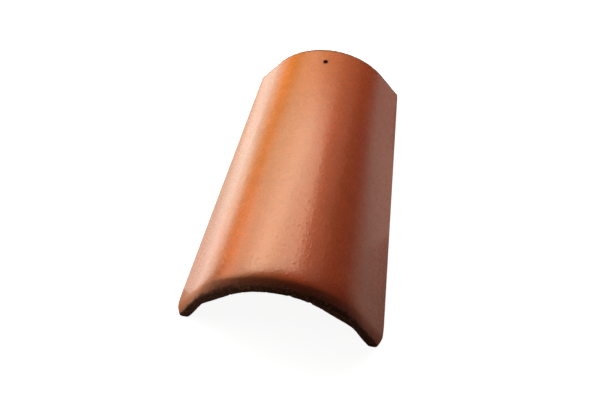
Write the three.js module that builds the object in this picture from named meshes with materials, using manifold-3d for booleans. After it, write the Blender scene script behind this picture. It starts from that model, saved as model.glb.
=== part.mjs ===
// Tapered barrel ridge tile: one moulded piece of fired clay, lying on its two feet.
//
// Frame, in millimetres: +Z is up from the plane that the feet rest on, Y runs along the
// tile from the wide nose (-Y) to the narrow head (+Y), and X runs across it. The origin
// is the middle of the footprint, on the resting plane.

import * as THREE from 'three';
import { mergeVertices } from 'three/addons/utils/BufferGeometryUtils.js';
import Module from 'manifold-3d';

const wasm = await Module();
wasm.setup();

// ---------------------------------------------------------------------------------------
// Driving dimensions: millimetres, and degrees from the floor for every slope
// ---------------------------------------------------------------------------------------

const tileLength = 450;

// Outside of the section at the nose and at the head. It tapers evenly between them.
const noseWidth = 276;
const noseHeight = 118;
const noseFlankSlope = 60;
const headWidth = 224;
const headHeight = 82.5;
const headFlankSlope = 52;

const wallThickness = 13;
const footOuterRound = 3;
const footInnerRound = 2;
const headEdgeRound = 1.5;

// Lip: towards the nose the wall thickens inwards. The opening under it has a round crown,
// straight shoulders, and a knee on each side where steeper legs begin.
const lipCrownThickness = 20;
const lipCrownRadius = 88;
const lipShoulderSlope = 42;
const lipKneeX = 96.5;
const lipFootWidth = 20;
const lipDepth = 40;
const lipEdgeRound = 2.5;

// Nose: towards the front the outside droops ever more steeply up to a soft crease. From there
// it rolls on, without a kink, down to a narrow upright face. Depths are measured back from the
// front and falls down from the straight outside, both at the crown unless a name says otherwise.
const droopDepth = 33;
const creaseDepth = 11;
const creaseDepthAtFoot = 11;
const creaseFall = 4.2;
const rollCornerFall = 14.5;
const faceFall = 17.5;
const faceInsetAtFoot = 8;

const nailHoleDiameter = 6.5;
const nailHoleRim = 0.8;
const nailHoleFromHead = 30;
const nailHoleSide = -4.5;

// Length of rounding on each side of a knee.
const kneeReach = 6;

// Facets: along each stretch of the half section, along the tile, and round the nail hole.
const crownSteps = 16;
const shoulderSteps = 3;
const kneeSteps = 3;
const legSteps = 2;
const footSteps = 3;
const edgeSteps = 3;
const rollSteps = 7;
const droopSteps = 5;
const bodySteps = 6;
const nailHoleSteps = 24;

const { degToRad, lerp, smoothstep } = THREE.MathUtils;

// ---------------------------------------------------------------------------------------
// Arches: one half of a section, from the crown (x = 0) to the foot on the floor (z = 0)
// ---------------------------------------------------------------------------------------

// An arch is its apex height, the radius and slope that its crown arc ends with, and the
// two corners of the straight stretches below: the knee and the foot.
function makeArch(apex, radius, slope, kneeX, footX) {
  const arcEnd = new THREE.Vector2(radius * Math.sin(slope), apex - radius + radius * Math.cos(slope));
  const knee = new THREE.Vector2(kneeX, arcEnd.y - (kneeX - arcEnd.x) * Math.tan(slope));
  const foot = new THREE.Vector2(footX, 0);
  const legSlope = Math.atan2(knee.y, footX - kneeX);
  return { apex, radius, slope, arcEnd, knee, foot, legSlope };
}

// An arch without a bend at its knee: the crown arc runs into one straight flank.
function makeFlankArch(apex, slope, footX) {
  const radius = (footX - apex / Math.tan(slope)) / Math.tan(slope / 2);
  const kneeX = (radius * Math.sin(slope) + footX) / 2;
  return makeArch(apex, radius, slope, kneeX, footX);
}

// The same arch moved outwards by a distance measured square to its surface.
function offsetArch(arch, distance) {
  const middleSlope = (arch.slope + arch.legSlope) / 2;
  const halfBend = (arch.legSlope - arch.slope) / 2;
  const kneeX = arch.knee.x + (distance * Math.sin(middleSlope)) / Math.cos(halfBend);
  const footX = arch.foot.x + distance / Math.sin(arch.legSlope);
  return makeArch(arch.apex + distance, arch.radius + distance, arch.slope, kneeX, footX);
}

// Outside of the tile at a share of its length from the nose (0) to the head (1).
function outerArch(share) {
  const slope = degToRad(lerp(noseFlankSlope, headFlankSlope, share));
  const halfWidth = lerp(noseWidth, headWidth, share) / 2;
  const footX = halfWidth + footOuterRound * (1 / Math.tan(slope / 2) - 1);
  return makeFlankArch(lerp(noseHeight, headHeight, share), slope, footX);
}

function innerArch(share) {
  return offsetArch(outerArch(share), -wallThickness);
}

// The opening under the lip, at the front.
function lipArch() {
  const slope = degToRad(lipShoulderSlope);
  const footX = noseWidth / 2 - lipFootWidth;
  return makeArch(noseHeight - lipCrownThickness, lipCrownRadius, slope, lipKneeX, footX);
}

// Upper edge of the upright face at the front.
function faceArch() {
  const outside = outerArch(0);
  return makeFlankArch(outside.apex - faceFall, outside.slope, outside.foot.x - faceInsetAtFoot);
}

// Points of an arch. The foot's corner is rounded, and the last point lies on the floor, on
// the material's side of the foot: side is -1 for an outside and 1 for an inside.
function archPoints(arch, footRound, side) {
  const { apex, radius, slope, arcEnd, knee, foot, legSlope } = arch;
  const crown = new THREE.EllipseCurve(0, apex - radius, radius, radius, Math.PI / 2, Math.PI / 2 - slope, true);
  const shoulderWay = new THREE.Vector2(Math.cos(slope), -Math.sin(slope));
  const legWay = new THREE.Vector2(Math.cos(legSlope), -Math.sin(legSlope));
  const kneeStart = knee.clone().addScaledVector(shoulderWay, -kneeReach);
  const kneeEnd = knee.clone().addScaledVector(legWay, kneeReach);
  const footTurn = side < 0 ? Math.PI - legSlope : legSlope;
  const footReach = footRound * Math.tan(footTurn / 2);
  const footStart = foot.clone().addScaledVector(legWay, -footReach);
  const footCentre = new THREE.Vector2(foot.x + side * footReach, footRound);
  const points = [
    ...crown.getPoints(crownSteps),
    ...new THREE.LineCurve(arcEnd, kneeStart).getPoints(shoulderSteps).slice(1),
    ...new THREE.QuadraticBezierCurve(kneeStart, knee, kneeEnd).getPoints(kneeSteps).slice(1),
    ...new THREE.LineCurve(kneeEnd, footStart).getPoints(legSteps).slice(1),
  ];
  for (let step = 1; step <= footSteps; step += 1) {
    points.push(footStart.clone().rotateAround(footCentre, (side * footTurn * step) / footSteps));
  }
  return points;
}

// ---------------------------------------------------------------------------------------
// Rings: the points of an arch placed along the tile, from one foot over to the other
// ---------------------------------------------------------------------------------------

// Each half point has its own depth behind the front, because the nose rolls further back
// at the crown than at the feet.
function ringFrom(halfPoints) {
  const half = halfPoints.map(({ x, z, depth }) => new THREE.Vector3(x, depth - tileLength / 2, z));
  const mirrored = half.slice(1).reverse().map((point) => new THREE.Vector3(-point.x, point.y, point.z));
  return [...mirrored, ...half];
}

function flatRing(points, depth) {
  return ringFrom(points.map(({ x, y }) => ({ x, z: y, depth })));
}

// Outside of the nose. The profile gives depth and fall at the crown. Towards the feet the
// depth shrinks, and the fall becomes a share of the way from the outside to the face.
function noseRing(depth, fall) {
  const facePoints = archPoints(faceArch(), footOuterRound, -1);
  const half = facePoints.map((facePoint, index) => {
    const lowness = 1 - facePoint.y / facePoints[0].y;
    const ownDepth = depth * lerp(1, creaseDepthAtFoot / creaseDepth, lowness);
    const skinPoint = archPoints(outerArch(ownDepth / tileLength), footOuterRound, -1)[index];
    const point = skinPoint.clone().lerp(facePoint, fall / faceFall);
    return { x: point.x, z: point.y, depth: ownDepth };
  });
  return ringFrom(half);
}

function noseRings() {
  const roll = new THREE.QuadraticBezierCurve(
    new THREE.Vector2(0, faceFall),
    new THREE.Vector2(0, rollCornerFall),
    new THREE.Vector2(creaseDepth, creaseFall),
  );
  const creaseSlope = (rollCornerFall - creaseFall) / creaseDepth;
  const droop = new THREE.QuadraticBezierCurve(
    new THREE.Vector2(creaseDepth, creaseFall),
    new THREE.Vector2(creaseDepth + creaseFall / creaseSlope, 0),
    new THREE.Vector2(droopDepth, 0),
  );
  const profile = [...roll.getPoints(rollSteps), ...droop.getPoints(droopSteps).slice(1)];
  return profile.map(({ x, y }) => noseRing(x, y));
}

// Inside of the lip: its rounded front edge, then a smooth run out to the plain wall.
function lipRings() {
  const rings = [];
  for (let step = 0; step < edgeSteps; step += 1) {
    const turn = ((step / edgeSteps) * Math.PI) / 2;
    const arch = offsetArch(lipArch(), lipEdgeRound * (1 - Math.sin(turn)));
    rings.push(flatRing(archPoints(arch, footInnerRound, 1), lipEdgeRound * (1 - Math.cos(turn))));
  }
  const lipPoints = archPoints(lipArch(), footInnerRound, 1);
  const runOutSteps = rollSteps + droopSteps - edgeSteps;
  for (let step = 0; step <= runOutSteps; step += 1) {
    const depth = lerp(lipEdgeRound, lipDepth, step / runOutSteps);
    const wallPoints = archPoints(innerArch(depth / tileLength), footInnerRound, 1);
    const runOut = smoothstep(depth, lipEdgeRound, lipDepth);
    rings.push(flatRing(lipPoints.map((point, index) => point.clone().lerp(wallPoints[index], runOut)), depth));
  }
  return rings;
}

// The plain body and the rounded edge of the cut head. A skin is an arch for each share of
// the length, and inset is the way in from it to the material: -1 outside and 1 inside.
function bodyRings(skinArch, footRound, inset, startDepth) {
  const rings = [];
  const endDepth = tileLength - headEdgeRound;
  for (let step = 1; step <= bodySteps; step += 1) {
    const depth = lerp(startDepth, endDepth, step / bodySteps);
    rings.push(flatRing(archPoints(skinArch(depth / tileLength), footRound, inset), depth));
  }
  for (let step = 1; step <= edgeSteps; step += 1) {
    const turn = ((step / edgeSteps) * Math.PI) / 2;
    const depth = endDepth + headEdgeRound * Math.sin(turn);
    const arch = offsetArch(skinArch(depth / tileLength), inset * headEdgeRound * (1 - Math.cos(turn)));
    rings.push(flatRing(archPoints(arch, footRound, inset), depth));
  }
  return rings;
}

// ---------------------------------------------------------------------------------------
// Solids
// ---------------------------------------------------------------------------------------

// Triangles between two lines of points, facing the side from which the first line runs
// from left to right below the second.
function strip(lower, upper) {
  const corners = [];
  for (let index = 0; index + 1 < lower.length; index += 1) {
    corners.push(lower[index], lower[index + 1], upper[index + 1]);
    corners.push(lower[index], upper[index + 1], upper[index]);
  }
  return corners;
}

function loftShell(outerRings, innerRings) {
  const first = 0;
  const last = outerRings.length - 1;
  const leftEnd = (rings) => rings.map((ring) => ring[0]);
  const rightEnd = (rings) => rings.map((ring) => ring[ring.length - 1]);
  const corners = [
    ...strip(innerRings[first], outerRings[first]),
    ...strip(outerRings[last], innerRings[last]),
    ...strip(leftEnd(outerRings), leftEnd(innerRings)),
    ...strip(rightEnd(innerRings), rightEnd(outerRings)),
  ];
  for (let index = first; index < last; index += 1) {
    corners.push(...strip(outerRings[index], outerRings[index + 1]));
    corners.push(...strip(innerRings[index + 1], innerRings[index]));
  }
  return new THREE.BufferGeometry().setFromPoints(corners);
}

function toSolid(geometry) {
  const bare = geometry.clone();
  bare.deleteAttribute('normal');
  bare.deleteAttribute('uv');
  const merged = mergeVertices(bare);
  const vertProperties = new Float32Array(merged.attributes.position.array);
  const triVerts = new Uint32Array(merged.index.array);
  return new wasm.Manifold(new wasm.Mesh({ numProp: 3, vertProperties, triVerts }));
}

function toGeometry(solid) {
  const mesh = solid.getMesh();
  const geometry = new THREE.BufferGeometry();
  geometry.setAttribute('position', new THREE.BufferAttribute(new Float32Array(mesh.vertProperties), 3));
  geometry.setIndex(new THREE.BufferAttribute(new Uint32Array(mesh.triVerts), 1));
  geometry.computeVertexNormals();
  return geometry;
}

// What the nail hole takes away: an upright bore whose top opens into a small rim.
function nailHoleCutter() {
  const radius = nailHoleDiameter / 2;
  const surface = outerArch(1 - nailHoleFromHead / tileLength).apex;
  const bottom = surface - 3 * wallThickness;
  const top = surface + wallThickness;
  const profile = [
    new THREE.Vector2(0, bottom),
    new THREE.Vector2(radius, bottom),
    new THREE.Vector2(radius, surface - nailHoleRim),
    new THREE.Vector2(radius + nailHoleRim, surface),
    new THREE.Vector2(radius + nailHoleRim, top),
    new THREE.Vector2(0, top),
  ];
  const bore = new THREE.LatheGeometry(profile, nailHoleSteps);
  bore.rotateX(Math.PI / 2);
  bore.translate(nailHoleSide, tileLength / 2 - nailHoleFromHead, 0);
  return bore;
}

function makeRoofTile() {
  const outerRings = [...noseRings(), ...bodyRings(outerArch, footOuterRound, -1, droopDepth)];
  const innerRings = [...lipRings(), ...bodyRings(innerArch, footInnerRound, 1, lipDepth)];
  const shell = toSolid(loftShell(outerRings, innerRings));
  const drilled = shell.subtract(toSolid(nailHoleCutter()));
  const terracotta = new THREE.MeshStandardMaterial({ color: 0xb8663f, roughness: 0.5, metalness: 0 });
  const tile = new THREE.Mesh(toGeometry(drilled), terracotta);
  tile.name = 'roof_tile';
  return tile;
}

const group = new THREE.Group();
group.name = 'barrel_ridge_tile';
group.add(makeRoofTile());

export default group;
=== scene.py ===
# Looks of the tapered barrel ridge tile: a finely modelled clay skin, studio light and camera.
# Lengths are in metres and slopes in degrees from the floor. -Y is the wide nose.

import math

import bmesh
import bpy
import numpy as np
from mathutils import Matrix, Vector, kdtree, noise


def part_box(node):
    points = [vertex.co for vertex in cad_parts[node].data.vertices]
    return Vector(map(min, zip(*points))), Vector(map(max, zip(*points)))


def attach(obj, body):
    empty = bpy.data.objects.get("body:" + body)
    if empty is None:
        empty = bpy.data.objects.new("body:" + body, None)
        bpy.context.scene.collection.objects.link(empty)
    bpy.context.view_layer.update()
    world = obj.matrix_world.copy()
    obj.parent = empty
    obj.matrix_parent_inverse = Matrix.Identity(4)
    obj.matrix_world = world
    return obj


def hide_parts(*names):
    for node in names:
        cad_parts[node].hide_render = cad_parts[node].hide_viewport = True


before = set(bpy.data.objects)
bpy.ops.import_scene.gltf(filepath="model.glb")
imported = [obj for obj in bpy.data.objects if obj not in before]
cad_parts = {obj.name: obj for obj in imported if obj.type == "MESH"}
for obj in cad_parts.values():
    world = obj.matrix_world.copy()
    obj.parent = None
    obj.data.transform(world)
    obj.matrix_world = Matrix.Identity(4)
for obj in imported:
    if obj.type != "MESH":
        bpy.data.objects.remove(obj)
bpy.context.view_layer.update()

MM = 0.001

# ------------------------------------------------------------------------------------------
# The tile's own sizes. The length comes from the frame.
# ------------------------------------------------------------------------------------------

NODE = "roof_tile"
box_low, box_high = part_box(NODE)
TILE_LENGTH = box_high.y - box_low.y

NOSE_WIDTH = 276 * MM
NOSE_HEIGHT = 118 * MM
NOSE_FLANK_SLOPE = 60
HEAD_WIDTH = 224 * MM
HEAD_HEIGHT = 82.5 * MM
HEAD_FLANK_SLOPE = 52

WALL = 13 * MM
FOOT_OUTER_ROUND = 3 * MM
FOOT_INNER_ROUND = 2 * MM
HEAD_EDGE_ROUND = 1.5 * MM

LIP_CROWN_THICKNESS = 20 * MM
LIP_CROWN_RADIUS = 88 * MM
LIP_SHOULDER_SLOPE = 42
LIP_KNEE_X = 96.5 * MM
LIP_FOOT_WIDTH = 20 * MM
LIP_DEPTH = 40 * MM
LIP_EDGE_ROUND = 2.5 * MM

DROOP_DEPTH = 33 * MM
CREASE_DEPTH = 11 * MM
CREASE_DEPTH_AT_FOOT = 11 * MM
CREASE_FALL = 4.2 * MM
ROLL_CORNER_FALL = 14.5 * MM
FACE_FALL = 17.5 * MM
FACE_INSET_AT_FOOT = 8 * MM
KNEE_REACH = 6 * MM

NAIL_HOLE_DIAMETER = 6.5 * MM
NAIL_HOLE_RIM = 0.8 * MM
NAIL_HOLE_FROM_HEAD = 30 * MM
NAIL_HOLE_SIDE = -4.5 * MM

# The clay's own unevenness. Outside it goes into the CAD's skin. On the underside, away from
# the tile's ends, it goes both ways. Near the floor it fades out, so the feet stay flat.
SWELL_DEPTH = 0.45 * MM
SWELL_ACROSS = 55 * MM
SWELL_ALONG = 110 * MM
DIMPLE_DEPTH = 0.12 * MM
DIMPLE_SIZE = 17 * MM
CRUMB_DEPTH = 0.8 * MM
CRUMB_SIZE = 5 * MM
CRUMB_RANGE = (0.05, 0.75)
ROUGH_DEPTH = 0.35 * MM
ROUGH_SIZE = 3.2 * MM
ROUGH_BARENESS = (0.35, 0.75)
UNDERSIDE_FROM_END = (4 * MM, 16 * MM)
EVEN_FOOT_HEIGHT = 6 * MM

# The raw lip spreads out of the CAD's skin. The spread starts, and is full, this far behind
# the nose.
LIP_SPREAD = 0.9 * MM
LIP_SPREAD_START = 30 * MM
LIP_SPREAD_FULL = 16 * MM

# Mesh steps along each stretch of the half section, along the tile and round the nail hole.
CROWN_STEPS = 84
SHOULDER_STEPS = 12
KNEE_STEPS = 8
LEG_STEPS = 14
FOOT_STEPS = 6
EDGE_STEPS = 4
ROLL_STEPS = 16
NOSE_STEPS = 34
DROOP_STEPS = 12
BODY_STEPS = 120
FACE_STEPS = 8
NAIL_HOLE_SIDES = 48

# Points that agree to this many digits of a metre are one, and after the cut a point is known
# again by its place. Shading breaks where faces meet at more than the sharp angle.
WELD_DIGITS = 7
SAME_POINT = 0.01 * MM
NORMAL_ROUNDS = 4
SHARP_ANGLE = 38


# ------------------------------------------------------------------------------------------
# Arches: one half of a section, from the crown (x = 0) to the foot on the floor (z = 0)
# ------------------------------------------------------------------------------------------

def mix(start, end, share):
    return start + (end - start) * share


def make_arch(apex, radius, slope, knee_x, foot_x):
    """A round crown, a straight shoulder down to the knee, and a straight leg to the foot."""
    end_x = radius * math.sin(slope)
    end_z = apex - radius + radius * math.cos(slope)
    knee_z = end_z - (knee_x - end_x) * math.tan(slope)
    return {
        "apex": apex, "radius": radius, "slope": slope,
        "end": np.array([end_x, end_z]), "knee": np.array([knee_x, knee_z]),
        "foot": np.array([foot_x, 0.0]), "leg_slope": math.atan2(knee_z, foot_x - knee_x),
    }


def make_flank_arch(apex, slope, foot_x):
    """An arch without a bend at its knee: a round crown and a straight flank."""
    radius = (foot_x - apex / math.tan(slope)) / math.tan(slope / 2)
    return make_arch(apex, radius, slope, (radius * math.sin(slope) + foot_x) / 2, foot_x)


def offset_arch(arch, distance):
    """An arch that lies further out by the distance everywhere."""
    middle = (arch["slope"] + arch["leg_slope"]) / 2
    half_bend = (arch["leg_slope"] - arch["slope"]) / 2
    knee_x = arch["knee"][0] + distance * math.sin(middle) / math.cos(half_bend)
    foot_x = arch["foot"][0] + distance / math.sin(arch["leg_slope"])
    apex, radius = arch["apex"] + distance, arch["radius"] + distance
    return make_arch(apex, radius, arch["slope"], knee_x, foot_x)


def outer_arch(depth):
    """The outside at a depth from the nose."""
    share = depth / TILE_LENGTH
    slope = math.radians(mix(NOSE_FLANK_SLOPE, HEAD_FLANK_SLOPE, share))
    half_width = mix(NOSE_WIDTH, HEAD_WIDTH, share) / 2
    foot_x = half_width + FOOT_OUTER_ROUND * (1 / math.tan(slope / 2) - 1)
    return make_flank_arch(mix(NOSE_HEIGHT, HEAD_HEIGHT, share), slope, foot_x)


def inner_arch(depth):
    return offset_arch(outer_arch(depth), -WALL)


def lip_arch():
    """The inside of the thick lip at the nose."""
    foot_x = NOSE_WIDTH / 2 - LIP_FOOT_WIDTH
    slope = math.radians(LIP_SHOULDER_SLOPE)
    apex = NOSE_HEIGHT - LIP_CROWN_THICKNESS
    return make_arch(apex, LIP_CROWN_RADIUS, slope, LIP_KNEE_X, foot_x)


def face_arch():
    """The outer edge of the nose's face, under the roll."""
    outside = outer_arch(0)
    foot_x = outside["foot"][0] - FACE_INSET_AT_FOOT
    return make_flank_arch(outside["apex"] - FACE_FALL, outside["slope"], foot_x)


def line(start, end, steps):
    shares = np.linspace(0, 1, steps + 1)[1:, None]
    return mix(start, end, shares)


def bend(start, corner, end, steps):
    shares = np.linspace(0, 1, steps + 1)[1:, None]
    return mix(mix(start, corner, shares), mix(corner, end, shares), shares)


def arch_points(arch, foot_round, side):
    """Points from crown to foot. side is -1 for an outside and 1 for an inside."""
    turns = np.linspace(0, arch["slope"], CROWN_STEPS + 1)
    radius = arch["radius"]
    crown = np.stack([radius * np.sin(turns), arch["apex"] - radius + radius * np.cos(turns)], -1)
    slope, leg_slope = arch["slope"], arch["leg_slope"]
    shoulder_way = np.array([math.cos(slope), -math.sin(slope)])
    leg_way = np.array([math.cos(leg_slope), -math.sin(leg_slope)])
    knee_start = arch["knee"] - shoulder_way * KNEE_REACH
    knee_end = arch["knee"] + leg_way * KNEE_REACH
    foot_turn = math.pi - leg_slope if side < 0 else leg_slope
    reach = foot_round * math.tan(foot_turn / 2)
    foot_start = arch["foot"] - leg_way * reach
    centre = np.array([arch["foot"][0] + side * reach, foot_round])
    angles = side * foot_turn * np.linspace(0, 1, FOOT_STEPS + 1)[1:]
    arm = foot_start - centre
    foot = centre + np.stack([
        arm[0] * np.cos(angles) - arm[1] * np.sin(angles),
        arm[0] * np.sin(angles) + arm[1] * np.cos(angles),
    ], -1)
    foot[-1, 1] = 0
    return np.concatenate([
        crown,
        line(arch["end"], knee_start, SHOULDER_STEPS),
        bend(knee_start, arch["knee"], knee_end, KNEE_STEPS),
        line(knee_end, foot_start, LEG_STEPS),
        foot,
    ])


# ------------------------------------------------------------------------------------------
# Rings along the tile
# ------------------------------------------------------------------------------------------

def ring(points, depths):
    """A whole ring, from the left foot over the crown to the right foot."""
    depths = np.broadcast_to(depths, len(points))
    half = np.stack([points[:, 0], depths - TILE_LENGTH / 2, points[:, 1]], -1)
    mirrored = half[:0:-1] * [-1, 1, 1]
    return np.concatenate([mirrored, half])


def nose_ring(depth, fall):
    """A ring of the roll and droop, at a depth and a fall below the straight crown."""
    face = arch_points(face_arch(), FOOT_OUTER_ROUND, -1)
    lowness = 1 - face[:, 1] / face[0, 1]
    depths = depth * mix(1, CREASE_DEPTH_AT_FOOT / CREASE_DEPTH, lowness)
    near = arch_points(outer_arch(0), FOOT_OUTER_ROUND, -1)
    far = arch_points(outer_arch(DROOP_DEPTH), FOOT_OUTER_ROUND, -1)
    skin = mix(near, far, (depths / DROOP_DEPTH)[:, None])
    return ring(mix(skin, face, fall / FACE_FALL), depths)


def outer_rings():
    """Rings of the outside, from the face of the nose. Its profile is in depths and falls."""
    face_edge = np.array([0, FACE_FALL])
    roll_corner = np.array([0, ROLL_CORNER_FALL])
    crease = np.array([CREASE_DEPTH, CREASE_FALL])
    roll = np.concatenate([[face_edge], bend(face_edge, roll_corner, crease, ROLL_STEPS)])
    crease_slope = (ROLL_CORNER_FALL - CREASE_FALL) / CREASE_DEPTH
    droop_corner = np.array([CREASE_DEPTH + CREASE_FALL / crease_slope, 0])
    droop = bend(crease, droop_corner, np.array([DROOP_DEPTH, 0]), DROOP_STEPS)
    rings = [nose_ring(depth, fall) for depth, fall in np.concatenate([roll, droop])]
    return rings + body_rings(outer_arch, FOOT_OUTER_ROUND, -1, DROOP_DEPTH)


def inner_rings():
    """Rings of the inside, from the lip's rounded edge to the plain wall."""
    rings = []
    for turn in np.linspace(0, math.pi / 2, EDGE_STEPS + 1)[:-1]:
        arch = offset_arch(lip_arch(), LIP_EDGE_ROUND * (1 - math.sin(turn)))
        depth = LIP_EDGE_ROUND * (1 - math.cos(turn))
        rings.append(ring(arch_points(arch, FOOT_INNER_ROUND, 1), depth))
    lip_points = arch_points(lip_arch(), FOOT_INNER_ROUND, 1)
    for share in np.linspace(0, 1, DROOP_STEPS + 1):
        depth = mix(LIP_EDGE_ROUND, LIP_DEPTH, share)
        wall_points = arch_points(inner_arch(depth), FOOT_INNER_ROUND, 1)
        run_out = share * share * (3 - 2 * share)
        rings.append(ring(mix(lip_points, wall_points, run_out), depth))
    return rings + body_rings(inner_arch, FOOT_INNER_ROUND, 1, LIP_DEPTH)


def body_rings(skin_arch, foot_round, side, start_depth):
    """Rings of the plain stretch and of the head's rounded edge."""
    end_depth = TILE_LENGTH - HEAD_EDGE_ROUND
    rings = []
    for depth in np.linspace(start_depth, end_depth, BODY_STEPS + 1)[1:]:
        rings.append(ring(arch_points(skin_arch(depth), foot_round, side), depth))
    for turn in np.linspace(0, math.pi / 2, EDGE_STEPS + 1)[1:]:
        depth = end_depth + HEAD_EDGE_ROUND * math.sin(turn)
        arch = offset_arch(skin_arch(depth), side * HEAD_EDGE_ROUND * (1 - math.cos(turn)))
        rings.append(ring(arch_points(arch, foot_round, side), depth))
    return rings


# ------------------------------------------------------------------------------------------
# How bare each point is: 0 under the smooth coat, 1 on raw clay
# ------------------------------------------------------------------------------------------

BARE_AT_FACE = 0.72
BARE_AT_FACE_OF_FOOT = 0.25
BARE_INSIDE = 0.85
BARE_FOOT_FALL = 3


def outer_bareness(rings):
    """Bareness of every point of the outside, from rings of points."""
    rows, columns = rings.shape[:2]
    face_height = rings[0, :, 2]
    lowness = 1 - face_height / face_height.max()
    at_face = mix(BARE_AT_FACE, BARE_AT_FACE_OF_FOOT, lowness)
    along = np.zeros((rows, columns))
    along[:ROLL_STEPS + 1] = np.linspace(1, 0, ROLL_STEPS + 1)[:, None] * at_face
    along[-EDGE_STEPS - 1:] = 1
    across = np.zeros(columns)
    at_foot = np.linspace(1, 0, FOOT_STEPS + 1) ** BARE_FOOT_FALL
    across[:FOOT_STEPS + 1] = at_foot
    across[-FOOT_STEPS - 1:] = at_foot[::-1]
    return np.maximum(along, across[None])


# ------------------------------------------------------------------------------------------
# Mesh
# ------------------------------------------------------------------------------------------

def grid_quads(rows):
    """Corner values of every quad of a grid, facing up where rows run along +Y."""
    quads = np.stack([rows[:-1, :-1], rows[:-1, 1:], rows[1:, 1:], rows[1:, :-1]], 2)
    return quads.reshape(-1, rows.shape[2])


def between(first, second, steps):
    """A grid of points from one line of points to another."""
    shares = np.linspace(0, 1, steps + 1)[:, None, None]
    return mix(first[None], second[None], shares)


def with_bareness(points, bareness):
    return np.concatenate([points, bareness[..., None]], -1)


def nose_skin(outer, inner):
    """The nose from the lip's inside to the crease, in even steps along every column."""
    inside = inner[EDGE_STEPS::-1]
    face = between(inner[0], outer[0], FACE_STEPS)[1:]
    rows = np.concatenate([inside, face, outer[1:ROLL_STEPS + 1]])
    columns = []
    for column in rows.swapaxes(0, 1):
        lengths = np.linalg.norm(np.diff(column[:, :3], axis=0), axis=1)
        way = np.concatenate([[0], np.cumsum(lengths)])
        even = np.linspace(0, way[-1], NOSE_STEPS + 1)
        columns.append(np.stack([np.interp(even, way, column[:, axis]) for axis in range(4)], -1))
    return np.array(columns).swapaxes(0, 1)


def foot_sole(nose, outer, inner, column):
    """The flat underside of one foot, from the nose to the head."""
    half = NOSE_STEPS // 2
    front = between(nose[half::-1, column], nose[half:, column], FACE_STEPS)
    rear = between(inner[1:, column], outer[1:, column], FACE_STEPS)
    sole = np.concatenate([front, rear], 1)
    return sole if column else sole[::-1]


def tile_mesh():
    outer = np.array(outer_rings())
    inner = np.array(inner_rings())
    outer = with_bareness(outer, outer_bareness(outer))
    inner = with_bareness(inner, np.full(inner.shape[:2], BARE_INSIDE))
    nose = nose_skin(outer, inner)
    outer, inner = outer[ROLL_STEPS:], inner[EDGE_STEPS:]
    corners = np.concatenate([
        grid_quads(nose),
        grid_quads(outer),
        grid_quads(inner[::-1]),
        grid_quads(between(outer[-1], inner[-1], FACE_STEPS)),
        grid_quads(foot_sole(nose, outer, inner, 0)),
        grid_quads(foot_sole(nose, outer, inner, -1)),
    ])
    points, first, index = np.unique(
        np.round(corners[:, :3], WELD_DIGITS), axis=0, return_index=True, return_inverse=True)
    faces = [list(dict.fromkeys(face)) for face in index.reshape(-1, 4).tolist()]
    mesh = bpy.data.meshes.new("clay_tile")
    mesh.from_pydata(points.tolist(), [], [face for face in faces if len(face) > 2])
    mesh.update()
    attribute = mesh.attributes.new("bareness", "FLOAT", "POINT")
    attribute.data.foreach_set("value", corners[first, 3])
    return mesh


def mesh_points(mesh):
    points = np.empty(len(mesh.vertices) * 3)
    mesh.vertices.foreach_get("co", points)
    return points.reshape(-1, 3)


def mesh_bareness(mesh):
    bareness = np.empty(len(mesh.vertices))
    mesh.attributes["bareness"].data.foreach_get("value", bareness)
    return bareness


# ------------------------------------------------------------------------------------------
# Unevenness of hand-finished clay
# ------------------------------------------------------------------------------------------

def noise_at(points, size):
    """Smooth noise from -1 to 1 at each point. size is how far apart its hills are."""
    scaled = points / size
    return np.array([noise.noise(Vector(point)) for point in scaled])


def smooth_share(values, low, high):
    share = np.clip((values - low) / (high - low), 0, 1)
    return share * share * (3 - 2 * share)


def calm_normals(mesh):
    """Vertex normals, each evened out with its neighbours'."""
    normals = np.empty(len(mesh.vertices) * 3)
    mesh.vertices.foreach_get("normal", normals)
    normals = normals.reshape(-1, 3)
    ends = np.empty(len(mesh.edges) * 2, int)
    mesh.edges.foreach_get("vertices", ends)
    ends = ends.reshape(-1, 2)
    for _ in range(NORMAL_ROUNDS):
        total = normals.copy()
        np.add.at(total, ends[:, 0], normals[ends[:, 1]])
        np.add.at(total, ends[:, 1], normals[ends[:, 0]])
        normals = total / np.linalg.norm(total, axis=1, keepdims=True)
    return normals


def uneven(mesh):
    """Move each point along its calmed normal. depth is how far it goes in."""
    points = mesh_points(mesh)
    normals = calm_normals(mesh)
    swell = noise_at(points, np.array([SWELL_ACROSS, SWELL_ALONG, SWELL_ACROSS]))
    dimples = noise_at(points, DIMPLE_SIZE)
    crumbs = noise_at(points, CRUMB_SIZE)
    rough = noise_at(points, ROUGH_SIZE)
    rawness = smooth_share(mesh_bareness(mesh), *ROUGH_BARENESS)
    from_end = TILE_LENGTH / 2 - np.abs(points[:, 1])
    from_nose = TILE_LENGTH / 2 + points[:, 1]
    underside = rawness * smooth_share(from_end, *UNDERSIDE_FROM_END)
    depth = 0.5 * (SWELL_DEPTH * swell + DIMPLE_DEPTH * dimples + ROUGH_DEPTH * rawness * rough)
    depth += 0.5 * (SWELL_DEPTH + DIMPLE_DEPTH + ROUGH_DEPTH * rawness) * (1 - underside)
    depth += CRUMB_DEPTH * smooth_share(crumbs, *CRUMB_RANGE) * (rawness - underside)
    depth -= LIP_SPREAD * rawness * smooth_share(-from_nose, -LIP_SPREAD_START, -LIP_SPREAD_FULL)
    depth *= smooth_share(points[:, 2], 0, EVEN_FOOT_HEIGHT)
    moved = points - normals * depth[:, None]
    moved[:, 1] = np.maximum(moved[:, 1], box_low.y)
    mesh.vertices.foreach_set("co", moved.ravel())
    mesh.update()


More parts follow.
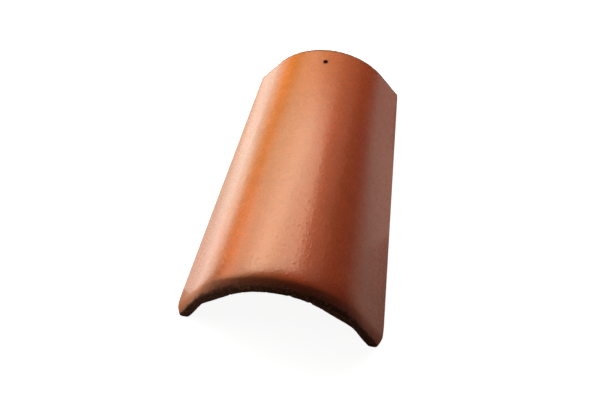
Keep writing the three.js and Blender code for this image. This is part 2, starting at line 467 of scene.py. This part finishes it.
def nail_hole_cutter():
    surface = mix(NOSE_HEIGHT, HEAD_HEIGHT, 1 - NAIL_HOLE_FROM_HEAD / TILE_LENGTH)
    radius = NAIL_HOLE_DIAMETER / 2
    profile = [
        (radius, surface - 3 * WALL),
        (radius, surface - NAIL_HOLE_RIM),
        (radius + NAIL_HOLE_RIM, surface),
        (radius + NAIL_HOLE_RIM, surface + WALL),
    ]
    sides = NAIL_HOLE_SIDES
    points = []
    for r, z in profile:
        for turn in range(sides):
            angle = 2 * math.pi * turn / sides
            points.append((r * math.cos(angle), r * math.sin(angle), z))
    faces = [list(range(sides))[::-1], [3 * sides + turn for turn in range(sides)]]
    for level in range(3):
        for turn in range(sides):
            after = (turn + 1) % sides
            low, high = level * sides, (level + 1) * sides
            faces.append([low + turn, low + after, high + after, high + turn])
    mesh = bpy.data.meshes.new("nail_hole_cutter")
    mesh.from_pydata(points, [], faces)
    mesh.transform(Matrix.Translation((NAIL_HOLE_SIDE, TILE_LENGTH / 2 - NAIL_HOLE_FROM_HEAD, 0)))
    cutter = bpy.data.objects.new("nail_hole_cutter", mesh)
    bpy.context.scene.collection.objects.link(cutter)
    return cutter


def apply_modifiers(obj):
    graph = bpy.context.evaluated_depsgraph_get()
    obj.data = bpy.data.meshes.new_from_object(obj.evaluated_get(graph), depsgraph=graph)
    obj.modifiers.clear()


def split_faces(mesh):
    """Split the faces that the cut leaves with more than four corners into triangles."""
    work = bmesh.new()
    work.from_mesh(mesh)
    bmesh.ops.triangulate(work, faces=[face for face in work.faces if len(face.verts) > 4])
    work.to_mesh(mesh)
    work.free()


def keep_bareness(mesh, points, bareness):
    """Give each vertex the bareness it had before the hole was cut. The hole's own are bare."""
    tree = kdtree.KDTree(len(points))
    for index, point in enumerate(points):
        tree.insert(point, index)
    tree.balance()
    values = []
    for point in mesh_points(mesh):
        _, index, distance = tree.find(point)
        values.append(bareness[index] if distance < SAME_POINT else 1)
    mesh.attributes["bareness"].data.foreach_set("value", values)


def make_tile():
    mesh = tile_mesh()
    uneven(mesh)
    points, bareness = mesh_points(mesh), mesh_bareness(mesh)
    tile = bpy.data.objects.new("clay_tile", mesh)
    bpy.context.scene.collection.objects.link(tile)
    cutter = nail_hole_cutter()
    cut = tile.modifiers.new("nail_hole", "BOOLEAN")
    cut.operation = "DIFFERENCE"
    cut.solver = "EXACT"
    cut.object = cutter
    apply_modifiers(tile)
    bpy.data.objects.remove(cutter)
    split_faces(tile.data)
    keep_bareness(tile.data, points, bareness)
    tile.data.shade_smooth()
    tile.data.set_sharp_from_angle(angle=math.radians(SHARP_ANGLE))
    return tile


tile = make_tile()


# ------------------------------------------------------------------------------------------
# Clay. A pair of numbers is a range: a share runs from 0 at its first end to 1 at its second.
# ------------------------------------------------------------------------------------------

WHITE = (1, 1, 1, 1)

# Noises over the clay: the size of their hills, their detail and their roughness.
PATCH_NOISE = (95 * MM, 2, 0.5)
BLOTCH_NOISE = (21 * MM, 3, 0.5)
MOTTLE_NOISE = (9 * MM, 2, 0.6)
GRIT_NOISE = (4.5 * MM, 2.5, 0.55)
DUST_NOISE = (0.9 * MM, 2, 0.5)
GLOSS_NOISE = (2.8 * MM, 1, 0.5)
GRAIN_NOISE = (1.8 * MM, 4, 0.65)

# Dots in cells: the cells' size, the range of distance in which a dot comes up, and the range
# of chance in which a cell comes to have one.
DARK_SAND_DOTS = (3.6 * MM, (0.15, 0.06), (0.22, 0.18))
LIGHT_SAND_DOTS = (3.6 * MM, (0.13, 0.05), (0.80, 0.84))
SMALL_PEEL_DOTS = (3.3 * MM, (0.55, 0.0), (0.1, 0.9))
LARGE_PEEL_DOTS = (5.6 * MM, (0.52, 0.0), (0.2, 0.9))
PIT_DOTS = (13 * MM, (0.065, 0.02), (0.55, 0.6))

# The clay is raw where it is this bare. The noises make that line ragged.
RAW_BARENESS = (0.10, 0.34)
RAGGED_BY_BLOTCHES = 0.35
RAGGED_BY_GRIT = 0.45

# The coat's colour runs from orange on the lit left flank to a darker red on the shaded right, and
# on the left goes redder towards the nose: painted shade.
COAT_LEFT = (0.560, 0.178, 0.018, 1)
COAT_LEFT_SHADED_AT_NOSE = (0.62, 0.153, 0.015, 1)
COAT_RIGHT_SHADED = (0.617, 0.096, 0.031, 1)
COAT_SHADE_TURN_X = (-94 * MM, 78 * MM)
COAT_NOSE_SHADE_Y = (20 * MM, -180 * MM)

# Two bands of painted light and shade run along the coat: a lighter one on the left shoulder, where
# the light falls full on it, and a redder one right of the crown, where the highlight gives way to
# shade, which fades out towards the head.
SHOULDER_LIGHT_X = -64 * MM
SHOULDER_LIGHT_REACH = 24 * MM
SHOULDER_PAINTED_LIGHT = (1.34, 1.20, 1.40, 1)
RED_SHADE_X = 24 * MM
RED_SHADE_REACH = 30 * MM
RED_PAINTED_SHADE = (1.16, 0.96, 0.88, 1)
RED_SHADE_Y = (150 * MM, 50 * MM)

# How much each noise varies the brightness of the fired coat.
FIRED_BY_PATCHES = 0.20
FIRED_BY_BLOTCHES = 0.16
FIRED_BY_MOTTLE = 0.20
FIRED_BY_GRIT = 0.30

# Painted shade: the coat darkens on the crown from the droop on, over the whole roll, and on the
# roll's crown, where the nose turns away from the light.
DROOP_PAINTED_SHADE = (0.83, 0.75, 0.78, 1)
DROOP_SHADE_Y = (-176 * MM, -203 * MM)
DROOP_SHADE_Z = (55 * MM, 80 * MM)
ROLL_PAINTED_SHADE = (0.46, 0.25, 0.95, 1)
CROWN_ROLL_PAINTED_SHADE = (0.50, 0.50, 0.60, 1)
CROWN_ROLL_SHADE_X = (90 * MM, 30 * MM)
CROWN_ROLL_SHADE_Y = (-206 * MM, -219 * MM)
CROWN_ROLL_SHADE_Z = (68 * MM, 92 * MM)

# Raw clay, and the near-black painted shade on it, each from deep to light by the grit.
BODY_DEEP = (0.30, 0.100, 0.046, 1)
BODY_LIGHT = (0.50, 0.190, 0.095, 1)
BODY_GRIT = (0.30, 0.70)
PAINTED_SHADE_DEEP = (0.085, 0.030, 0.013, 1)
PAINTED_SHADE_LIGHT = (0.26, 0.092, 0.042, 1)
PAINTED_SHADE_GRIT = (0.45, 0.75)

# Painted shade lies on the raw nose, which faces down out of the light, and near the head on the
# arris and in the nail hole.
NOSE_SHADE_Y = -208 * MM
NOSE_SHADE_FADE = 14 * MM
HEAD_SHADE_Y = (185 * MM, 190 * MM)
HEAD_SHADE_BARENESS = (0.90, 0.97)

SAND_DARK = (0.16, 0.045, 0.022, 1)
SAND_DARK_SHARE = 0.22
SAND_LIGHT = (0.78, 0.36, 0.18, 1)
SAND_LIGHT_SHARE = 0.10

# The coat is satin, a little patchy. It is rougher where it turns down over the nose.
SATIN_ROUGHNESS = 0.270
SATIN_BY_BLOTCHES = 0.08
SATIN_BY_GLOSS = 0.10
TURNED_ROUGHNESS = 0.60
TURNED_Y = (-205 * MM, -218 * MM)
TURNED_SHARE = 0.7
RAW_ROUGHNESS = 0.9

# The coat's reflection is tinted, and duller over the roll and towards the head.
COAT_SPECULAR = (1, 0.69, 0.50, 1)
RAW_SPECULAR = (0.25, 0.10, 0.04, 1)
ROLL_DULLNESS = 0.7
HEAD_DULLNESS = 0.55
HEAD_DULL_Y = (40 * MM, 200 * MM)
CLAY_IOR = 1.66
CLAY_SPECULAR_LEVEL = 0.89

# Relief. The coat's peel grows lower from the tile's middle towards the head.
SMALL_PEEL_HEIGHT = 0.11 * MM
LARGE_PEEL_HEIGHT = 0.18 * MM
GRIT_PEEL_HEIGHT = 0.13 * MM
PEEL_LOSS_PER_METRE = 1.0
DUST_HEIGHT = 0.03 * MM
PIT_DEPTH = 0.15 * MM
GRAIN_HEIGHT = 0.9 * MM


def add_node(tree, kind, inputs=None, **settings):
    """Add a shader node. A socket among its inputs is linked, and any other value is set."""
    node = tree.nodes.new("ShaderNode" + kind)
    for name, value in settings.items():
        setattr(node, name, value)
    for name, value in (inputs or {}).items():
        socket = node.inputs[name]
        if isinstance(value, bpy.types.NodeSocket):
            tree.links.new(value, socket)
        else:
            socket.default_value = value
    return node


class Clay:
    """The clay's node tree, with small helpers that write it as formulas.

    The Mix node's sockets share their names, so value and blend name them by their places.
    """

    def __init__(self, tree):
        self.tree = tree
        self.place = add_node(tree, "TexCoord").outputs["Object"]
        self.bareness = add_node(tree, "Attribute", attribute_name="bareness").outputs["Fac"]
        self.x, self.y, self.z = add_node(tree, "SeparateXYZ", {"Vector": self.place}).outputs
        self.patches = self.noise(*PATCH_NOISE)
        self.blotches = self.noise(*BLOTCH_NOISE)
        self.mottle = self.noise(*MOTTLE_NOISE)
        self.grit = self.noise(*GRIT_NOISE)

    def noise(self, size, detail, roughness):
        node = add_node(self.tree, "TexNoise", {
            "Vector": self.place, "Scale": 1 / size, "Detail": detail, "Roughness": roughness})
        return node.outputs["Fac"]

    def math(self, operation, first, second=0.0, third=0.0, clamp=False):
        node = add_node(
            self.tree, "Math", {0: first, 1: second, 2: third},
            operation=operation, use_clamp=clamp)
        return node.outputs[0]

    def product(self, first, *others):
        for other in others:
            first = self.math("MULTIPLY", first, other)
        return first

    def varied(self, middle, noise, spread):
        """A value that a noise of 0 to 1 varies around its middle."""
        return self.math("MULTIPLY_ADD", self.math("SUBTRACT", noise, 0.5), spread, middle)

    def ramp(self, value, ends, start=0.0, end=1.0):
        node = add_node(self.tree, "MapRange", {
            "Value": value, "From Min": ends[0], "From Max": ends[1],
            "To Min": start, "To Max": end}, interpolation_type="SMOOTHSTEP")
        return node.outputs["Result"]

    def dots(self, size, edge, chosen):
        cells = add_node(self.tree, "TexVoronoi", {"Vector": self.place, "Scale": 1 / size})
        chance = add_node(self.tree, "SeparateColor", {"Color": cells.outputs["Color"]})
        return self.product(
            self.ramp(cells.outputs["Distance"], edge), self.ramp(chance.outputs["Red"], chosen))

    def band(self, middle_x, reach):
        """A band along the tile, 1 at its middle and 0 at its reach to either side."""
        from_middle = self.math("ABSOLUTE", self.math("SUBTRACT", self.x, middle_x))
        return self.ramp(from_middle, (reach, 0.0))

    def value(self, share, first, second):
        node = add_node(self.tree, "Mix", {0: share, 2: first, 3: second}, data_type="FLOAT")
        return node.outputs[0]

    def blend(self, share, first, second, how="MIX"):
        node = add_node(
            self.tree, "Mix", {0: share, 6: first, 7: second}, data_type="RGBA", blend_type=how)
        return node.outputs[2]

    def toned(self, share, color, tone):
        """A colour, multiplied by a tone where the share is 1."""
        return self.blend(share, color, self.blend(1.0, color, tone, "MULTIPLY"))


def coat_tone_and_shade(clay, rolled):
    # Painted shade: the coat turns redder and darker towards the shaded right flank and towards the
    # nose.
    left = clay.blend(clay.ramp(clay.y, COAT_NOSE_SHADE_Y), COAT_LEFT, COAT_LEFT_SHADED_AT_NOSE)
    color = clay.blend(clay.ramp(clay.x, COAT_SHADE_TURN_X), left, COAT_RIGHT_SHADED)
    # Painted light: a lighter band on the left shoulder.
    shoulder_light = clay.band(SHOULDER_LIGHT_X, SHOULDER_LIGHT_REACH)
    color = clay.toned(shoulder_light, color, SHOULDER_PAINTED_LIGHT)
    # Painted shade: a redder band where the crown's highlight ends.
    red_shade = clay.product(
        clay.band(RED_SHADE_X, RED_SHADE_REACH), clay.ramp(clay.y, RED_SHADE_Y))
    color = clay.toned(red_shade, color, RED_PAINTED_SHADE)

    fired = 1.0
    for noise_value, spread in (
            (clay.patches, FIRED_BY_PATCHES), (clay.blotches, FIRED_BY_BLOTCHES),
            (clay.mottle, FIRED_BY_MOTTLE), (clay.grit, FIRED_BY_GRIT)):
        fired = clay.varied(fired, noise_value, spread)
    fired = add_node(clay.tree, "CombineColor", {0: fired, 1: fired, 2: fired}).outputs[0]
    color = clay.blend(1.0, color, fired, "MULTIPLY")

    # Painted shade: darker on the droop, over the whole roll and on the roll's crown.
    droop_shade = clay.product(clay.ramp(clay.z, DROOP_SHADE_Z), clay.ramp(clay.y, DROOP_SHADE_Y))
    color = clay.toned(droop_shade, color, DROOP_PAINTED_SHADE)
    color = clay.toned(rolled, color, ROLL_PAINTED_SHADE)
    crown_roll_shade = clay.product(
        clay.ramp(clay.z, CROWN_ROLL_SHADE_Z), clay.ramp(clay.y, CROWN_ROLL_SHADE_Y),
        clay.ramp(clay.x, CROWN_ROLL_SHADE_X))
    return clay.toned(crown_roll_shade, color, CROWN_ROLL_PAINTED_SHADE)


def raw_color_and_shade(clay):
    # Painted shade: near-black on the raw nose, on the head's arris and in the nail hole.
    ragged_y = clay.math("MULTIPLY_ADD", clay.blotches, NOSE_SHADE_FADE, clay.y)
    nose_shade = clay.ramp(ragged_y, (NOSE_SHADE_Y + NOSE_SHADE_FADE, NOSE_SHADE_Y))
    head_shade = clay.product(
        clay.ramp(clay.bareness, HEAD_SHADE_BARENESS), clay.ramp(clay.y, HEAD_SHADE_Y))
    painted_shade = clay.math("MAXIMUM", nose_shade, head_shade)
    shaded_raw = clay.blend(clay.ramp(clay.grit, PAINTED_SHADE_GRIT), PAINTED_SHADE_DEEP, PAINTED_SHADE_LIGHT)
    body = clay.blend(clay.ramp(clay.grit, BODY_GRIT), BODY_DEEP, BODY_LIGHT)
    return clay.blend(painted_shade, body, shaded_raw)


def with_sand(clay, color):
    dark = clay.product(clay.dots(*DARK_SAND_DOTS), SAND_DARK_SHARE)
    light = clay.product(clay.dots(*LIGHT_SAND_DOTS), SAND_LIGHT_SHARE)
    return clay.blend(light, clay.blend(dark, color, SAND_DARK), SAND_LIGHT)


def roughness(clay, rolled, raw):
    satin = clay.varied(SATIN_ROUGHNESS, clay.blotches, SATIN_BY_BLOTCHES)
    satin = clay.varied(satin, clay.noise(*GLOSS_NOISE), SATIN_BY_GLOSS)
    turned = clay.math("MAXIMUM", rolled, clay.ramp(clay.y, TURNED_Y, 0.0, TURNED_SHARE))
    return clay.value(raw, clay.value(turned, satin, TURNED_ROUGHNESS), RAW_ROUGHNESS)


def reflection_tint(clay, rolled, raw):
    dull = clay.math(
        "MAXIMUM", clay.product(rolled, ROLL_DULLNESS),
        clay.ramp(clay.y, HEAD_DULL_Y, 0.0, HEAD_DULLNESS))
    return clay.blend(clay.math("MAXIMUM", raw, dull), COAT_SPECULAR, RAW_SPECULAR)


def relief(clay, raw):
    """The height of the peel, the dust, the pits and the open grain of raw clay, in metres."""
    low_at_head = clay.math("MULTIPLY_ADD", clay.y, -PEEL_LOSS_PER_METRE, 1.0, clamp=True)
    peel = clay.product(clay.dots(*LARGE_PEEL_DOTS), LARGE_PEEL_HEIGHT)
    peel = clay.math("MULTIPLY_ADD", clay.dots(*SMALL_PEEL_DOTS), SMALL_PEEL_HEIGHT, peel)
    peel = clay.math("MULTIPLY_ADD", clay.grit, GRIT_PEEL_HEIGHT, peel)
    height = clay.product(peel, low_at_head)
    height = clay.math("MULTIPLY_ADD", clay.noise(*DUST_NOISE), DUST_HEIGHT, height)
    height = clay.math("MULTIPLY_ADD", clay.dots(*PIT_DOTS), -PIT_DEPTH, height)
    open_grain = clay.product(clay.noise(*GRAIN_NOISE), raw)
    return clay.math("MULTIPLY_ADD", open_grain, GRAIN_HEIGHT, height)


def make_clay():
    material = bpy.data.materials.new("fired_clay")
    material.use_nodes = True
    tree = material.node_tree
    clay = Clay(tree)

    # rolled is 0 where the roll of the nose begins and 1 at its face.
    rolled = clay.math("DIVIDE", clay.bareness, BARE_AT_FACE, clamp=True)
    rolled = clay.math("POWER", clay.math("SUBTRACT", 1.0, rolled), 2.0)
    rolled = clay.math("SUBTRACT", 1.0, rolled)
    ragged = clay.varied(clay.bareness, clay.blotches, RAGGED_BY_BLOTCHES)
    ragged = clay.varied(ragged, clay.grit, RAGGED_BY_GRIT)
    raw = clay.ramp(ragged, RAW_BARENESS)

    color = with_sand(clay, clay.blend(raw, coat_tone_and_shade(clay, rolled), raw_color_and_shade(clay)))
    bump = add_node(tree, "Bump", {"Strength": 1.0, "Distance": 1.0, "Height": relief(clay, raw)})
    shader = tree.nodes["Principled BSDF"].inputs
    tree.links.new(color, shader["Base Color"])
    tree.links.new(roughness(clay, rolled, raw), shader["Roughness"])
    tree.links.new(reflection_tint(clay, rolled, raw), shader["Specular Tint"])
    tree.links.new(bump.outputs["Normal"], shader["Normal"])
    shader["IOR"].default_value = CLAY_IOR
    shader["Specular IOR Level"].default_value = CLAY_SPECULAR_LEVEL
    return material


tile.data.materials.clear()
tile.data.materials.append(make_clay())
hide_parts(NODE)
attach(tile, "root")


# ------------------------------------------------------------------------------------------
# Floor and room. Both are white to the camera only.
# ------------------------------------------------------------------------------------------

FLOOR_SIZE = 8
FLOOR_PAINT = (0.60, 0.60, 0.60, 1)
FLOOR_WHITE = 0.92
FLOOR_GLOSSY_WHITE = 0.089
ROOM_LIGHT = 0.029


def make_floor():
    """A pale floor that shows the tile's shadow. It glows for the camera, and a little in gloss."""
    half = FLOOR_SIZE / 2
    corners = [(-half, -half, 0), (half, -half, 0), (half, half, 0), (-half, half, 0)]
    mesh = bpy.data.meshes.new("floor")
    mesh.from_pydata(corners, [], [(0, 1, 2, 3)])
    floor = bpy.data.objects.new("floor", mesh)
    bpy.context.scene.collection.objects.link(floor)
    material = bpy.data.materials.new("pale_floor")
    material.use_nodes = True
    tree = material.node_tree
    tree.nodes.clear()
    paint = add_node(tree, "BsdfDiffuse", {"Color": FLOOR_PAINT}).outputs["BSDF"]
    white = add_node(tree, "Emission", {"Strength": FLOOR_WHITE}).outputs["Emission"]
    glow = add_node(tree, "Emission", {"Strength": FLOOR_GLOSSY_WHITE}).outputs["Emission"]
    seen = add_node(tree, "AddShader", {0: paint, 1: white}).outputs["Shader"]
    mirrored = add_node(tree, "AddShader", {0: paint, 1: glow}).outputs["Shader"]
    path = add_node(tree, "LightPath").outputs
    unseen = add_node(tree, "MixShader", {0: path["Is Glossy Ray"], 1: paint, 2: mirrored})
    surface = add_node(tree, "MixShader", {
        0: path["Is Camera Ray"], 1: unseen.outputs["Shader"], 2: seen})
    add_node(tree, "OutputMaterial", {"Surface": surface.outputs["Shader"]})
    mesh.materials.append(material)


def make_world():
    world = bpy.data.worlds.new("studio")
    bpy.context.scene.world = world
    world.use_nodes = True
    tree = world.node_tree
    tree.nodes.clear()
    room = add_node(tree, "Background", {"Color": WHITE, "Strength": ROOM_LIGHT})
    white = add_node(tree, "Background", {"Color": WHITE})
    surface = add_node(tree, "MixShader", {
        0: add_node(tree, "LightPath").outputs["Is Camera Ray"],
        1: room.outputs["Background"], 2: white.outputs["Background"]})
    add_node(tree, "OutputWorld", {"Surface": surface.outputs["Shader"]})


make_floor()
make_world()


# ------------------------------------------------------------------------------------------
# Lamps
# ------------------------------------------------------------------------------------------

KEY_AZIMUTH = -16.2
KEY_ELEVATION = 47.3
KEY_TARGET = (-0.131, -0.245, 0.050)
KEY_TINT = (1.0, 0.985, 0.905)


def make_lamp(name, size, radiance, tint):
    width, height = size
    lamp = bpy.data.lights.new(name, "AREA")
    lamp.shape = "RECTANGLE"
    lamp.size = width
    lamp.size_y = height
    lamp.energy = radiance * math.pi * width * height
    lamp.color = tint
    holder = bpy.data.objects.new(name, lamp)
    bpy.context.scene.collection.objects.link(holder)
    holder.visible_camera = False
    return holder


def make_softbox(name, azimuth, elevation, distance, target, size, radiance, tint):
    """A softbox that faces a target. Its azimuth is 0 towards the head and positive right."""
    turn, rise = math.radians(azimuth), math.radians(elevation)
    level = math.cos(rise)
    way = Vector((math.sin(turn) * level, math.cos(turn) * level, math.sin(rise)))
    holder = make_lamp(name, size, radiance, tint)
    holder.location = Vector(target) + distance * way
    holder.rotation_euler = way.to_track_quat("Z", "Y").to_euler()


def make_card(name, middle, size, radiance, tint, turn=0, in_gloss=True):
    """A card just above the floor that shines upward, either in the gloss or on the clay."""
    holder = make_lamp(name, size, radiance, tint)
    holder.location = middle
    holder.rotation_euler = (math.pi, 0, math.radians(turn))
    holder.visible_glossy = in_gloss
    holder.visible_diffuse = not in_gloss


make_softbox(
    "key_softbox", KEY_AZIMUTH, KEY_ELEVATION, distance=1.836, target=KEY_TARGET,
    size=(1.788, 0.840), radiance=2.802, tint=KEY_TINT)
make_softbox(
    "key_surround", KEY_AZIMUTH, KEY_ELEVATION, distance=1.873, target=KEY_TARGET,
    size=(4.026, 1.892), radiance=0.358, tint=KEY_TINT)
make_softbox(
    "left_softbox", azimuth=-60.2, elevation=34.3, distance=0.557,
    target=(0.000, -0.110, 0.050), size=(1.175, 0.407), radiance=1.533,
    tint=(0.997, 1.0, 0.958))
make_card(
    "far_shine_card", middle=(-0.360, 0.174, 0.001), size=(0.500, 0.716), radiance=0.614,
    tint=(0.951, 0.964, 1.0))
make_card(
    "right_fill_card", middle=(0.220, 0.120, 0.001), size=(0.190, 0.500), radiance=0.27,
    tint=(1.0, 1.0, 0.97), in_gloss=False)
make_card(
    "shine_card", middle=(-0.299, -0.107, 0.001), size=(0.209, 0.571), radiance=1.09,
    tint=(1.0, 0.995, 0.967))
make_card(
    "near_shine_card", middle=(-0.154, 0.062, 0.002), size=(0.030, 0.510), radiance=1.25,
    tint=(0.993, 0.997, 1.0), turn=-7)
make_card(
    "right_shine_card", middle=(0.150, 0.180, 0.002), size=(0.050, 0.460), radiance=0.24,
    tint=(1.0, 0.95, 0.85))


# ------------------------------------------------------------------------------------------
# Camera, by the angles, distance and lens at which the tile's outline fits the image
# ------------------------------------------------------------------------------------------

IMAGE_WIDTH = 600
IMAGE_HEIGHT = 401
FOCAL_PIXELS = 760
SENSOR_WIDTH = 36
AIM_PIXEL = (306.55, 182.63)
AIM_POINT = Vector((0, 0, 30 * MM))
AIM_DISTANCE = 1.0957
AZIMUTH, ELEVATION, ROLL = math.radians(9.835), math.radians(53.597), math.radians(0.255)


def make_camera():
    level = math.cos(ELEVATION)
    back = Vector((math.sin(AZIMUTH) * level, -math.cos(AZIMUTH) * level, math.sin(ELEVATION)))
    level_right = (-back).cross(Vector((0, 0, 1))).normalized()
    level_up = level_right.cross(-back)
    right = level_right * math.cos(ROLL) + level_up * math.sin(ROLL)
    up = level_up * math.cos(ROLL) - level_right * math.sin(ROLL)
    across = (AIM_PIXEL[0] - IMAGE_WIDTH / 2) / FOCAL_PIXELS
    above = (IMAGE_HEIGHT / 2 - AIM_PIXEL[1]) / FOCAL_PIXELS
    data = bpy.data.cameras.new("camera")
    data.sensor_width = SENSOR_WIDTH
    data.lens = SENSOR_WIDTH * FOCAL_PIXELS / IMAGE_WIDTH
    camera = bpy.data.objects.new("camera", data)
    bpy.context.scene.collection.objects.link(camera)
    camera.matrix_world = Matrix((right, up, back)).transposed().to_4x4()
    camera.location = AIM_POINT - AIM_DISTANCE * (across * right + above * up - back)
    bpy.context.scene.camera = camera


make_camera()
bpy.context.scene.view_settings.view_transform = "Standard"
